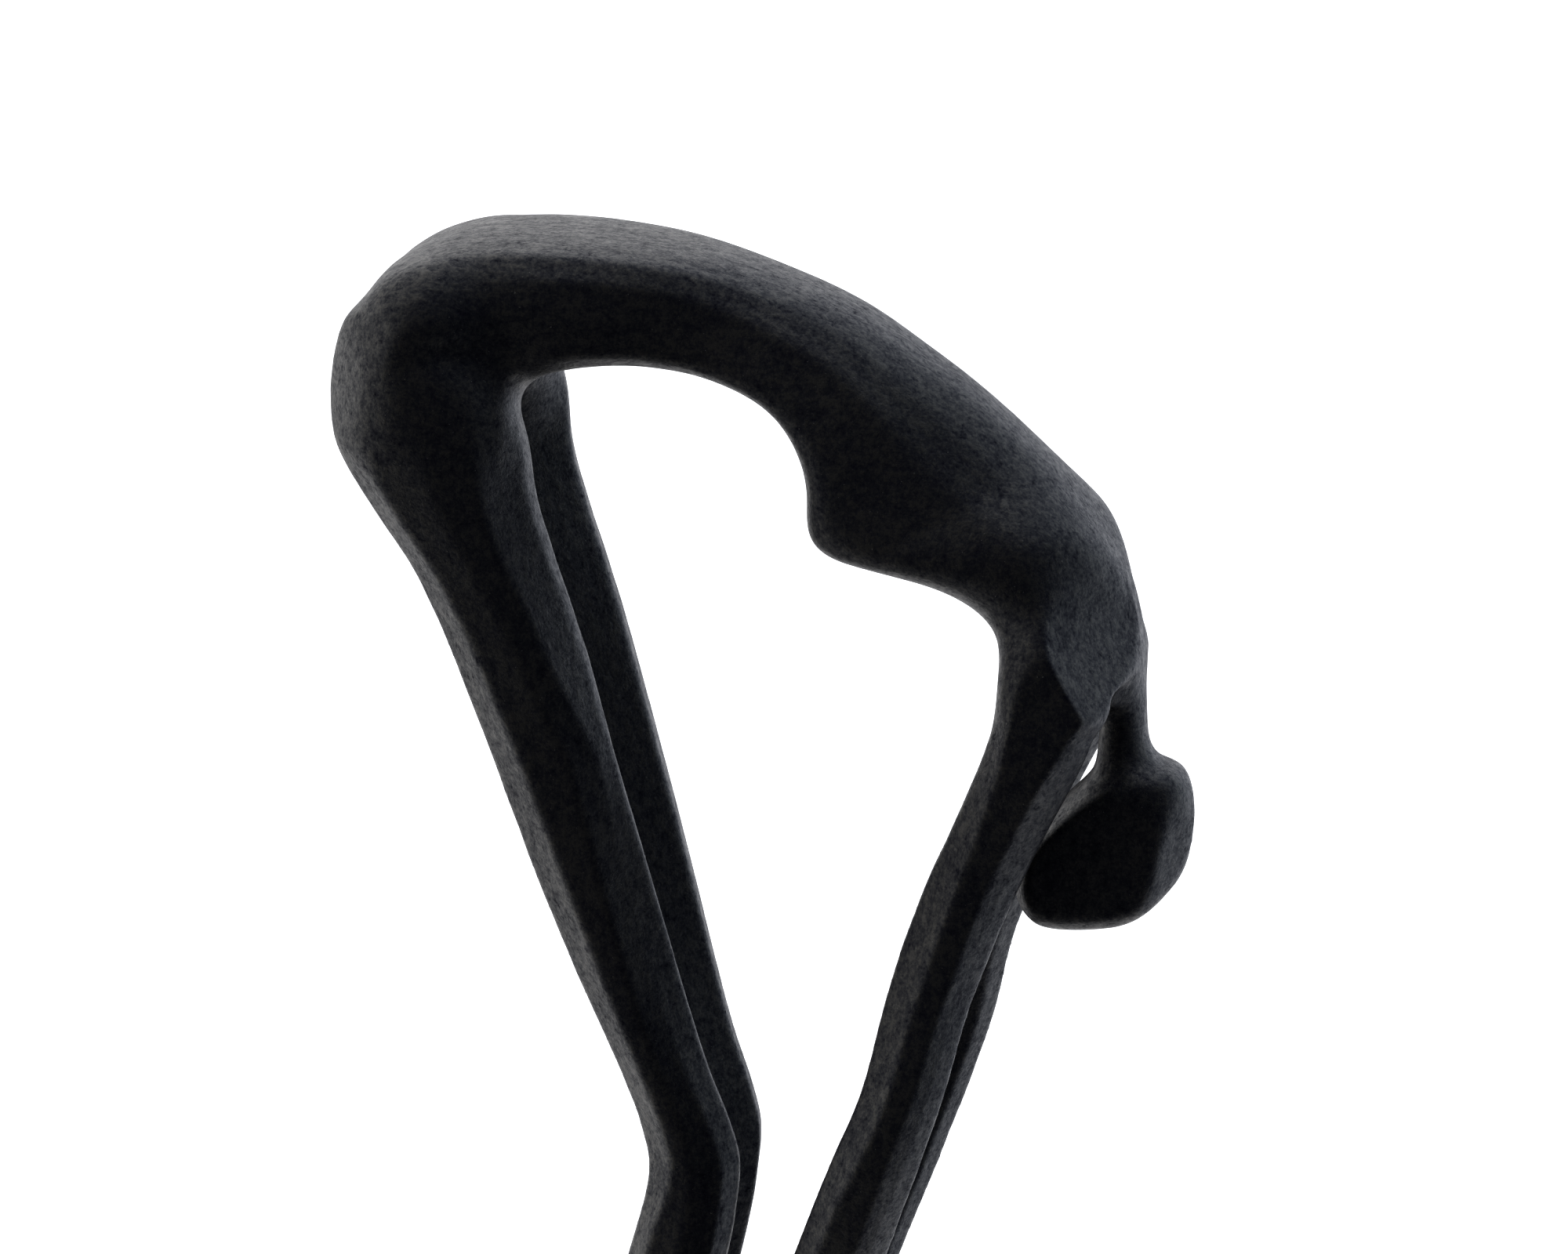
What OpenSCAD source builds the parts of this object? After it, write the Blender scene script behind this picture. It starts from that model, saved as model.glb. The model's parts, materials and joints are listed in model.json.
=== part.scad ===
// Table sculpture: a slender figure bent forward from the hips, hands on its insteps.
// Six iron castings are pinned together and stand on a plinth held by two foot studs.
// +X is the way the figure faces, +Z is up, and the origin is under the plinth's centre.

/* [Figure] */
// Height of the figure above the plinth
figure_h = 326; // [310:1:340]
// Extra spread between the two legs and the two arms, each side
limb_spread = 0; // [0:0.5:3]
// Points around each cross-section
sides = 28; // [16:4:36]
// Rings from one rib to the next
rings_per_rib = 3; // [2:1:3]

/* [Plinth] */
// Length of the plinth, along X
plinth_l = 170; // [160:1:220]
// Width of the plinth, along Y
plinth_w = 90; // [70:1:140]
// Thickness of the plinth
plinth_t = 14; // [13:0.5:20]
// Radius of the plinth's upright corners
plinth_corner_r = 6; // [3:0.5:12]
// Chamfer round the plinth's top edge
plinth_chamfer = 1.5; // [0.5:0.5:3]
// Thickness of the felt under the plinth
felt_t = 2; // [1:0.5:4]

/* [Fasteners] */
// Diameter of the two foot studs
stud_d = 4; // [3:0.5:5]
// Depth of the stud hole in each foot
stud_depth = 13; // [10:0.5:16]
// Diameter of the hip dowels
hip_dowel_d = 6; // [4:0.5:8]
// Diameter of the shoulder dowels
shoulder_dowel_d = 5; // [3:0.5:6]
// Diameter of the neck dowel
neck_dowel_d = 4; // [2:0.5:5]
// Diameter of the pins that hold the fingertips to the insteps
hand_pin_d = 2; // [1:0.5:2.5]

/* [Hidden] */

RIGHT = -1;                      // the right limbs lie on -Y
LEFT = 1;
drawn_h = 326;                   // the figure height that the ribs below are drawn at
k = figure_h / drawn_h;
base_z = felt_t + plinth_t;      // top of the plinth, where the soles stand
fit = 0.05;                      // radial clearance round every dowel, pin and stud
cap_gap = 0.5;                   // length by which a blind hole is deeper than its dowel

iron_color = [0.07, 0.07, 0.08];
steel_color = [0.62, 0.63, 0.65];
felt_color = [0.03, 0.03, 0.03];

// A rib is one cross-section, in mm above the plinth at drawn_h:
// [x and z of one edge, x and z of the other edge, sideways centre, sideways width, squareness].
// Seen from -Y and walking along the ribs, the first edge is on the right hand.
// Squareness 2 is an ellipse, and a larger value is a box with rounder corners.
leg_ribs = [
    [-63, 316, -46, 303, 13, 18, 2.2],
    [-71, 309.5, -43.5, 299, 16, 25, 2.3],
    [-75, 296.5, -41, 292, 17, 26, 2.4],
    [-72.5, 285, -40, 286.5, 17, 26, 2.4],
    [-65.5, 273.5, -39.5, 279, 17, 24, 2.5],
    [-58, 261.5, -37, 269.5, 16.5, 22, 2.5],
    [-48.5, 237.5, -29.5, 247, 15.5, 20.5, 2.6],
    [-36.5, 203.5, -19.5, 211.5, 13.5, 18, 2.6],
    [-23, 169, -10, 176, 10.5, 16, 2.6],
    [-20, 158.5, -5.5, 163, 9.5, 15.5, 2.5],
    [-19, 152, -3, 154.5, 9, 15.5, 2.4],
    [-20.5, 144, -3.5, 147.5, 9, 15.5, 2.4],
    [-23, 135, -5, 137.5, 9.5, 16.5, 2.3],
    [-30, 110, -11, 112, 10, 17.5, 2.3],
    [-36, 79, -18.5, 81.5, 10.5, 15, 2.3],
    [-39.5, 48, -27, 50, 10.5, 11.5, 2.3],
    [-42, 27, -31, 30, 10.5, 10.5, 2.3],
    [-46, 12, -29.5, 21.5, 10.5, 12.5, 2.3],
    [-42, -0.5, -26, 18.5, 10.5, 13.5, 2.4],
    [-30, -1, -20, 15.5, 10.5, 14, 2.4],
    [-14, -1, -9, 11.5, 11, 15.5, 2.5],
    [2, -1, 4, 8, 11.5, 16, 2.6],
    [9, 0.5, 9.5, 5.5, 11.5, 12, 2.6],
    [11, 2, 11, 3.5, 11.5, 6, 2.4]];
leg_joint = 5;                   // the rib where the leg casting meets the torso casting

arm_ribs = [
    [49, 266, 57, 270, 13, 12, 2.2],
    [46.5, 259, 63, 261.5, 17, 17, 2.3],
    [46, 252.5, 66, 252, 19.5, 18, 2.4],
    [45.5, 245.5, 64.5, 245, 21, 17, 2.4],
    [44, 237, 61.5, 236, 21.5, 16, 2.5],
    [35.5, 216.5, 51, 216, 20, 15, 2.6],
    [30.5, 203.5, 46, 204, 20.5, 15, 2.6],
    [26.5, 189.5, 41, 190, 22, 14.5, 2.6],
    [23, 174, 37.5, 174.5, 25, 14, 2.5],
    [17, 159.5, 32, 157.5, 24.5, 14, 2.4],
    [10, 141, 25.5, 139.5, 21, 14, 2.4],
    [2.5, 120, 17.5, 118, 17.5, 13, 2.3],
    [-5, 98.5, 8.5, 96, 15.5, 11.5, 2.3],
    [-11.5, 77, -1, 74.5, 14, 10, 2.3],
    [-16.5, 57, -8, 54.5, 13, 9, 2.3],
    [-19.5, 44, -12, 42, 12.5, 9.5, 2.3],
    [-22, 33, -15, 31.5, 11.5, 11.5, 2.4],
    [-22.5, 23, -17, 22, 11, 11, 2.5],
    [-21.5, 16.6, -18, 15.1, 10.5, 8.5, 2.3]];
arm_joint = 4;                   // the rib where the arm casting meets the torso casting

torso_ribs = [
    [-62, 301, -70, 309.5, 0, 20, 2.6],
    [-50, 295.5, -65.5, 317, 0, 38, 3.2],
    [-45.5, 295.5, -54, 321.8, 0, 44, 3.8],
    [-38.5, 299, -39, 322.8, 0, 43, 4],
    [-27, 301, -25, 322.4, 0, 38, 3.8],
    [-17, 300.5, -11, 320.6, 0, 33, 3.5],
    [-6.8, 298.5, 3, 316.4, 0, 32, 3.2],
    [4.2, 293, 17, 310.6, 0, 35, 3],
    [10, 282.5, 28, 303.6, 0, 40, 2.9],
    [10.5, 270.5, 38.5, 296.2, 0, 44, 2.8],
    [22.5, 266.5, 49.5, 286.5, 0, 48, 2.7],
    [33, 263.5, 59, 276.5, 0, 48, 2.6],
    [43, 257.5, 65, 265, 0, 43, 2.5],
    [53, 246.5, 68.5, 252, 0, 28, 2.3],
    [60.5, 241, 69, 243, 0, 13, 2.1],
    [61.5, 237.5, 69, 238, 0, 10.5, 2.1]];

head_ribs = [
    [61.5, 237.5, 69, 238, 0, 10.5, 2.1],
    [61, 234, 69.5, 234.5, 0, 10.5, 2.1],
    [60, 229.5, 71.5, 231.5, 0, 14, 2.2],
    [54.5, 223.5, 76, 229.5, 0, 23, 2.3],
    [48, 215, 78.5, 222, 0, 29, 2.4],
    [46.5, 207, 77.5, 212.5, 0, 28.5, 2.5],
    [50, 201.5, 71, 204.5, 0, 21, 2.4],
    [56, 200.5, 66, 201.5, 0, 10, 2.2]];

stud_x = -36;                    // the studs go up into the heels
stud_y = 10.5;
washer_r = stud_d * 1.125;
washer_t = 0.8;
nut_across_corners = stud_d * 2.02;
nut_t = stud_d * 0.8;
recess_r = stud_d * 1.5;         // recess under the plinth for the washer and the nut
recess_depth = 6.5;
stud_end_gap = 1;                // the stud stops this far above the plinth's underside
hole_clearance = 0.25;           // radial clearance of the stud in the plinth
felt_inset = 2;                  // the felt stops this far inside the plinth's edge
dowel_half = 11;                 // half the length of a hip or shoulder dowel
neck_dowel_half = 7;
hand_pin_depth = 3;              // depth of the hand pin in the fingertips and in the instep

// ---- Lofting ----

// Catmull-Rom value between b and c, at t from 0 to 1
function between(a, b, c, d, t) =
    0.5 * (2 * b + (c - a) * t + (2 * a - 5 * b + 4 * c - d) * t * t
           + (3 * b - a - 3 * c + d) * t * t * t);
function rib_at(ribs, i) = ribs[max(0, min(len(ribs) - 1, i))];
function smooth_ribs(ribs) = [
    for (i = [0 : len(ribs) - 2], s = [0 : rings_per_rib - 1])
        between(rib_at(ribs, i - 1), ribs[i], ribs[i + 1], rib_at(ribs, i + 2), s / rings_per_rib),
    ribs[len(ribs) - 1]];

// A cosine or sine pulled towards the corners of a box as the squareness grows
function squared(v, n) = sign(v) * pow(abs(v), 2 / n);

// Points round one rib. Nothing reaches below the soles.
function ring(rib, side) = [
    for (i = [0 : sides - 1])
        let (a = 360 * i / sides,
             u = squared(cos(a), rib[6]) / 2,
             v = squared(sin(a), rib[6]) / 2,
             x = (rib[0] + rib[2]) / 2 + (rib[2] - rib[0]) * u,
             z = (rib[1] + rib[3]) / 2 + (rib[3] - rib[1]) * u,
             y = side * (rib[4] + limb_spread) + rib[5] * v)
            [x * k, (side == 0 ? rib[5] * v : y) * k, max(z, 0) * k + base_z]];

// A closed solid through the ribs
module loft(ribs, side = 0) {
    rings = [for (r = ribs) ring(r, side)];
    last = len(rings) - 1;
    quads = [
        for (j = [0 : last - 1], i = [0 : sides - 1])
            let (a = j * sides + i, b = j * sides + (i + 1) % sides)
                each [[a, b, b + sides], [a, b + sides, a + sides]]];
    polyhedron(
        points = [for (r = rings) each r],
        faces = [each quads,
                 [for (i = [sides - 1 : -1 : 0]) i],
                 [for (i = [0 : sides - 1]) last * sides + i]]);
}

function ribs_before(ribs, joint) = [
    for (j = [0 : joint * rings_per_rib]) smooth_ribs(ribs)[j]];
function ribs_after(ribs, joint) = [
    for (j = [joint * rings_per_rib : (len(ribs) - 1) * rings_per_rib]) smooth_ribs(ribs)[j]];

// ---- Joints between the castings ----

// Middle of a rib, in the part's frame
function rib_middle(rib, side) = [
    (rib[0] + rib[2]) / 2 * k, side * (rib[4] + limb_spread) * k, (rib[1] + rib[3]) / 2 * k + base_z];
// Lean of the joint's axis from upright, about +Y
function rib_lean(rib) = -atan2(rib[3] - rib[1], rib[2] - rib[0]);

// Puts its children on a rib, with +Z square to it
module on_rib(rib, side) {
    translate(rib_middle(rib, side))
        rotate([0, rib_lean(rib), 0])
            children();
}

module dowel(d, half) {
    translate([0, 0, -half])
        cylinder(d = d, h = 2 * half, $fn = 48);
}

module hip_dowel_place(side) {
    on_rib(leg_ribs[leg_joint], side) children();
}

module shoulder_dowel_place(side) {
    on_rib(arm_ribs[arm_joint], side) children();
}

module neck_dowel_place() {
    translate([65.25 * k, 0, 237.8 * k + base_z]) children();
}

module hand_pin_place(side) {
    translate([-19.75 * k, side * (10.5 + limb_spread) * k, 16 * k + base_z]) children();
}

module stud_place(side) {
    translate([stud_x * k, side * (stud_y + limb_spread) * k, 0]) children();
}

// ---- Castings ----

module torso_form() {
    loft(smooth_ribs(torso_ribs));
    for (side = [RIGHT, LEFT]) {
        loft(ribs_before(leg_ribs, leg_joint), side);
        loft(ribs_before(arm_ribs, arm_joint), side);
    }
}

module torso_casting() {
    color(iron_color)
        difference() {
            // resize() with zeros keeps the size, and joins the lofts into one skin before drilling
            resize([0, 0, 0]) torso_form();
            neck_dowel_place() dowel(neck_dowel_d + 2 * fit, neck_dowel_half + cap_gap);
            for (side = [RIGHT, LEFT]) {
                hip_dowel_place(side) dowel(hip_dowel_d + 2 * fit, dowel_half + cap_gap);
                shoulder_dowel_place(side) dowel(shoulder_dowel_d + 2 * fit, dowel_half + cap_gap);
            }
        }
}

module head_casting() {
    color(iron_color)
        difference() {
            loft(smooth_ribs(head_ribs));
            neck_dowel_place() dowel(neck_dowel_d + 2 * fit, neck_dowel_half + cap_gap);
        }
}

module arm_casting(side) {
    color(iron_color)
        difference() {
            loft(ribs_after(arm_ribs, arm_joint), side);
            shoulder_dowel_place(side) dowel(shoulder_dowel_d + 2 * fit, dowel_half + cap_gap);
            hand_pin_place(side) dowel(hand_pin_d + 2 * fit, hand_pin_depth + cap_gap);
        }
}

module leg_casting(side) {
    color(iron_color)
        difference() {
            loft(ribs_after(leg_ribs, leg_joint), side);
            hip_dowel_place(side) dowel(hip_dowel_d + 2 * fit, dowel_half + cap_gap);
            hand_pin_place(side) dowel(hand_pin_d + 2 * fit, hand_pin_depth + cap_gap);
            stud_place(side)
                translate([0, 0, base_z - 1])
                    cylinder(d = stud_d + 2 * fit, h = stud_depth + 1 + cap_gap, $fn = 48);
        }
}

// ---- Dowels, pins and studs ----

module neck_dowel() {
    color(steel_color) neck_dowel_place() dowel(neck_dowel_d, neck_dowel_half);
}

module shoulder_dowel(side) {
    color(steel_color) shoulder_dowel_place(side) dowel(shoulder_dowel_d, dowel_half);
}

module hip_dowel(side) {
    color(steel_color) hip_dowel_place(side) dowel(hip_dowel_d, dowel_half);
}

module hand_pin(side) {
    color(steel_color) hand_pin_place(side) dowel(hand_pin_d, hand_pin_depth);
}

module foot_stud(side) {
    bottom = felt_t + stud_end_gap;
    color(steel_color)
        stud_place(side)
            translate([0, 0, bottom])
                cylinder(d = stud_d, h = base_z + stud_depth - bottom, $fn = 48);
}

module stud_washers() {
    color(steel_color)
        for (side = [RIGHT, LEFT])
            stud_place(side)
                translate([0, 0, felt_t + recess_depth - washer_t])
                    difference() {
                        cylinder(r = washer_r, h = washer_t, $fn = 48);
                        translate([0, 0, -1]) cylinder(d = stud_d + 2 * fit, h = washer_t + 2, $fn = 48);
                    }
}

module stud_nuts() {
    color(steel_color)
        for (side = [RIGHT, LEFT])
            stud_place(side)
                translate([0, 0, felt_t + recess_depth - washer_t - nut_t])
                    difference() {
                        cylinder(d = nut_across_corners, h = nut_t, $fn = 6);
                        translate([0, 0, -1]) cylinder(d = stud_d + 2 * fit, h = nut_t + 2, $fn = 48);
                    }
}

// ---- Plinth and felt ----

module rounded_slab(l, w, t, r) {
    translate([-l / 2 + r, -w / 2, 0]) cube([l - 2 * r, w, t]);
    translate([-l / 2, -w / 2 + r, 0]) cube([l, w - 2 * r, t]);
    for (sx = [-1, 1], sy = [-1, 1])
        translate([sx * (l / 2 - r), sy * (w / 2 - r), 0])
            cylinder(r = r, h = t, $fn = 64);
}

// A slab's end view with its two top corners cut off, extruded to a length
module chamfered_bar(w, t, c, length) {
    translate([0, length / 2, 0])
        rotate([90, 0, 0])
            linear_extrude(height = length)
                polygon([[-w / 2, 0], [w / 2, 0], [w / 2, t - c], [w / 2 - c, t],
                         [-w / 2 + c, t], [-w / 2, t - c]]);
}

module plinth() {
    color(iron_color)
        translate([0, 0, felt_t])
            difference() {
                intersection() {
                    rounded_slab(plinth_l, plinth_w, plinth_t, plinth_corner_r);
                    chamfered_bar(plinth_l, plinth_t, plinth_chamfer, plinth_w + 2);
                    rotate([0, 0, 90])
                        chamfered_bar(plinth_w, plinth_t, plinth_chamfer, plinth_l + 2);
                }
                for (side = [RIGHT, LEFT])
                    stud_place(side) {
                        translate([0, 0, -1])
                            cylinder(d = stud_d + 2 * hole_clearance, h = plinth_t + 2, $fn = 48);
                        translate([0, 0, -1]) cylinder(r = recess_r, h = recess_depth + 1, $fn = 64);
                    }
            }
}

module felt_pad() {
    color(felt_color)
        rounded_slab(plinth_l - 2 * felt_inset, plinth_w - 2 * felt_inset, felt_t,
                     plinth_corner_r - felt_inset);
}

torso_casting();
head_casting();
arm_casting(RIGHT);  // right_arm_casting
arm_casting(LEFT);  // left_arm_casting
leg_casting(RIGHT);  // right_leg_casting
leg_casting(LEFT);  // left_leg_casting
neck_dowel();
shoulder_dowel(RIGHT);  // right_shoulder_dowel
shoulder_dowel(LEFT);  // left_shoulder_dowel
hip_dowel(RIGHT);  // right_hip_dowel
hip_dowel(LEFT);  // left_hip_dowel
hand_pin(RIGHT);  // right_hand_pin
hand_pin(LEFT);  // left_hand_pin
foot_stud(RIGHT);  // right_foot_stud
foot_stud(LEFT);  // left_foot_stud
stud_washers();
stud_nuts();
plinth();
felt_pad();
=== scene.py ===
"""Looks for a slender bending figure in dark cast iron on a low plinth. Lengths are in metres.

The castings' skins are made from the CAD castings: joined, blended where the limbs meet the trunk,
shaped with the facets and ridges of the carved pattern, and parted again at the CAD joints.
"""
import json
import math

import bmesh
import bpy
import numpy as np
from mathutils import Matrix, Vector
from mathutils.bvhtree import BVHTree


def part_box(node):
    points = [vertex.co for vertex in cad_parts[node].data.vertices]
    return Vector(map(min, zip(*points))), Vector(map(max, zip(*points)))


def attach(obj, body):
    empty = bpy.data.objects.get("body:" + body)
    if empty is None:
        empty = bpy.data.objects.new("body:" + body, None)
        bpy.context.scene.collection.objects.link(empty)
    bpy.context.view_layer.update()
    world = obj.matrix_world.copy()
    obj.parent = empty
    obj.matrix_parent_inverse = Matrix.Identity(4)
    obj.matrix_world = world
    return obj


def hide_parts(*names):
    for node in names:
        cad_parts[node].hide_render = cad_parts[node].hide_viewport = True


MM = 0.001
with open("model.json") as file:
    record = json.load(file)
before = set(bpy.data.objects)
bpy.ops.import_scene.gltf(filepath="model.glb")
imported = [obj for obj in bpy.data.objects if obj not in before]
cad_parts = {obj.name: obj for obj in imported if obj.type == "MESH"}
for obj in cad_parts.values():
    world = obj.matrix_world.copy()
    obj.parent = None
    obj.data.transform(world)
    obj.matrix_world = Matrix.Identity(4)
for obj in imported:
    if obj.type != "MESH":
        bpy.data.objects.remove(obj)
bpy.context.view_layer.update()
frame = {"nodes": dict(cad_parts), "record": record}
scene = bpy.context.scene


def linked(name, data):
    """A new object in the scene."""
    obj = bpy.data.objects.new(name, data)
    scene.collection.objects.link(obj)
    return obj


# ---- Camera ----

VIEW_AZIMUTH = math.radians(12)
VIEW_ELEVATION = math.radians(15)
VIEW_DISTANCE = 1.3
VIEW_WIDTH = 0.28            # width of the view at the figure
SENSOR_WIDTH = 36
SOLE_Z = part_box("right_leg_casting")[0].z
VIEW_TARGET = Vector((3.5 * MM, 0, SOLE_Z + 252 * MM))


def direction_to(azimuth, elevation):
    return Vector((math.sin(azimuth) * math.cos(elevation),
                   -math.cos(azimuth) * math.cos(elevation), math.sin(elevation)))


TO_CAMERA = direction_to(VIEW_AZIMUTH, VIEW_ELEVATION)


def make_camera():
    camera = linked("camera", bpy.data.cameras.new("camera"))
    camera.data.sensor_width = SENSOR_WIDTH
    camera.data.lens = SENSOR_WIDTH * VIEW_DISTANCE / VIEW_WIDTH
    camera.location = VIEW_TARGET + TO_CAMERA * VIEW_DISTANCE
    camera.rotation_euler = TO_CAMERA.to_track_quat("Z", "Y").to_euler()
    scene.camera = camera


# ---- Node tools ----

def add(tree, kind, inputs=(), **settings):
    """A new node with its settings, and its inputs linked or set."""
    node = tree.nodes.new("ShaderNode" + kind)
    for key, value in settings.items():
        setattr(node, key, value)
    for socket, value in dict(inputs).items():
        if isinstance(value, bpy.types.NodeSocket):
            tree.links.new(value, node.inputs[socket])
        else:
            node.inputs[socket].default_value = value
    return node


def noise(tree, place, scale, detail=3.0, rough=0.6):
    """Cloudy noise. The scale is in features to the metre."""
    inputs = {"Vector": place, "Scale": scale, "Detail": detail, "Roughness": rough}
    return add(tree, "TexNoise", inputs).outputs[0]


def stretched(tree, place, scales):
    """A place scaled differently along X, Y and Z, in features to the metre."""
    return add(tree, "Mapping", {"Vector": place, "Scale": scales}).outputs[0]


def spread(tree, value, low, high, out_low=0.0, out_high=1.0):
    """The value from low to high spread from out_low to out_high."""
    inputs = {"Value": value, "From Min": low, "From Max": high, "To Min": out_low, "To Max": out_high}
    return add(tree, "MapRange", inputs).outputs[0]


def combine(tree, operation, a, b):
    return add(tree, "Math", {0: a, 1: b}, operation=operation).outputs[0]


def blend(tree, factor, a, b):
    return add(tree, "Mix", {0: factor, 2: a, 3: b}).outputs[0]


def coloured(tree, value, stops, curve="LINEAR"):
    """Colours from a ramp of (position, colour) stops."""
    node = add(tree, "ValToRGB", {0: value})
    node.color_ramp.interpolation = curve
    ramp = node.color_ramp.elements
    while len(ramp) < len(stops):
        ramp.new(0.5)
    for element, (position, colour) in zip(ramp, stops):
        element.position = position
        element.color = (*colour, 1)
    return node.outputs[0]


# ---- Light ----

# The middle of the studio's dark side, near the camera.
DARKEST = direction_to(VIEW_AZIMUTH + math.radians(6), math.radians(-3))
WHITE = (1, 1, 1)
DARK = (0.063, 0.066, 0.08)


def make_world():
    """A white studio that is dark where the camera stands, and plain white to look at.

    Its light is cooler from the right, and stronger from behind the figure and from above.
    """
    world = bpy.data.worlds.new("studio")
    scene.world = world
    world.use_nodes = True
    tree = world.node_tree
    tree.nodes.clear()
    direction = add(tree, "TexCoord").outputs["Generated"]

    def along(vector):
        inputs = {0: direction, 1: vector}
        return add(tree, "VectorMath", inputs, operation="DOT_PRODUCT").outputs["Value"]

    towards = spread(tree, along(DARKEST), -1, 1)
    shade = coloured(tree, towards, [(0.525, WHITE), (0.82, DARK)], "EASE")
    tint = coloured(tree, along((0.85, 0.1, 0.3)), [(0, (0.99, 0.985, 1)), (0.4, (0.84, 0.88, 1)),
                                                    (0.75, (0.6, 0.67, 0.78))])
    inputs = {0: 1.0, 6: shade, 7: tint}
    light = add(tree, "Mix", inputs, data_type="RGBA", blend_type="MULTIPLY").outputs[2]
    power = combine(tree, "ADD", along((-0.04, 0.32, 0.2)), 0.94)
    studio = add(tree, "Background", {0: light, 1: power})
    plain = add(tree, "Background", {0: (1, 1, 1, 1)})
    seen = add(tree, "LightPath").outputs["Is Camera Ray"]
    mix = add(tree, "MixShader", {0: seen, 1: studio.outputs[0], 2: plain.outputs[0]})
    out = add(tree, "OutputWorld", {0: mix.outputs[0]})
    out.is_active_output = True
    scene.view_settings.view_transform = "Standard"


def make_floor(radius=4):
    mesh = bpy.data.meshes.new("floor")
    rim = [(radius * math.cos(a), radius * math.sin(a), 0)
           for a in np.linspace(0, 2 * math.pi, 96, endpoint=False)]
    mesh.from_pydata(rim, [], [list(range(len(rim)))])
    floor = linked("floor", mesh)
    material = bpy.data.materials.new("floor")
    material.use_nodes = True
    shader = material.node_tree.nodes["Principled BSDF"]
    shader.inputs["Base Color"].default_value = (0.9, 0.9, 0.9, 1)
    shader.inputs["Roughness"].default_value = 0.8
    shader.inputs["Emission Color"].default_value = (1, 1, 1, 1)
    shader.inputs["Emission Strength"].default_value = 1.0
    mesh.materials.append(material)
    floor.visible_glossy = False
    floor.visible_diffuse = False


# ---- Mesh tools ----

def arrays(mesh):
    """A mesh's points and the ends of its edges."""
    points = np.empty(len(mesh.vertices) * 3)
    mesh.vertices.foreach_get("co", points)
    edges = np.empty(len(mesh.edges) * 2, int)
    mesh.edges.foreach_get("vertices", edges)
    return points.reshape(-1, 3), edges.reshape(-1, 2)


def normals(mesh):
    out = np.empty(len(mesh.vertices) * 3)
    mesh.vertex_normals.foreach_get("vector", out)
    return out.reshape(-1, 3)


def set_points(mesh, points):
    mesh.vertices.foreach_set("co", points.reshape(-1))
    mesh.update()


def neighbour_mean(points, edges):
    count = np.bincount(edges.reshape(-1), minlength=len(points)).astype(float)
    total = np.empty_like(points)
    for axis in range(3):
        there = np.bincount(edges[:, 0], points[edges[:, 1], axis], len(points))
        back = np.bincount(edges[:, 1], points[edges[:, 0], axis], len(points))
        total[:, axis] = there + back
    return total / count[:, None]


def remeshed(obj, size):
    """The object's mesh as one even skin."""
    skin = obj.modifiers.new("even_skin", "REMESH")
    skin.mode = "VOXEL"
    skin.voxel_size = size
    graph = bpy.context.evaluated_depsgraph_get()
    mesh = bpy.data.meshes.new_from_object(obj.evaluated_get(graph))
    obj.modifiers.remove(skin)
    return mesh


def joined(names):
    """Copies of CAD nodes in one mesh object."""
    shell = bmesh.new()
    for name in names:
        shell.from_mesh(frame["nodes"][name].data)
    bmesh.ops.remove_doubles(shell, verts=shell.verts, dist=1e-6)
    mesh = bpy.data.meshes.new("joined")
    shell.to_mesh(mesh)
    shell.free()
    return linked("joined", mesh)


def smoothstep(x, low, high):
    t = np.clip((x - low) / (high - low), 0, 1)
    return t * t * (3 - 2 * t)


def figure_mm(points):
    """The points' X and Y from the frame's middle and Z from the soles, in mm."""
    return points[:, 0] / MM, points[:, 1] / MM, (points[:, 2] - SOLE_Z) / MM


def ball(points, centre, radius):
    """1 at the centre, falling smoothly to 0 at the radius."""
    away = np.linalg.norm(points - np.array(centre), axis=1) / radius
    return 1 - smoothstep(away, 0, 1)


def around(points, x, y, z, radius):
    """Weights round a place and its mirror image. Lengths are in mm, and Z is above the soles."""
    near = ball(points, (x * MM, -y * MM, SOLE_Z + z * MM), radius * MM)
    far = ball(points, (x * MM, y * MM, SOLE_Z + z * MM), radius * MM)
    return np.maximum(near, far)


# ---- The skin ----

CASTINGS = ["torso_casting", "head_casting", "right_arm_casting", "left_arm_casting",
            "right_leg_casting", "left_leg_casting"]
DOWELS = {"neck_dowel": 10, "right_shoulder_dowel": 15, "left_shoulder_dowel": 15,
          "right_hip_dowel": 18, "left_hip_dowel": 18}      # and the reach of each joint's cut in mm
HAND_PINS = ["right_hand_pin", "left_hand_pin"]
HAND_TILT = math.radians(23)         # of the cut between a hand and an instep
HAND_CUT_REACH = 7 * MM
VOXEL = 0.7 * MM
COARSE_VOXEL = 1.8 * MM
HULL_FLOOR = SOLE_Z + 244 * MM       # the filled hull ends above the free stretch of the arms
# Hollows that the hull fills: X, Y and Z above the soles, and the radius, in mm.
FILLED = [(-50, 24, 303, 46), (46, 24, 268, 38)]


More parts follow.
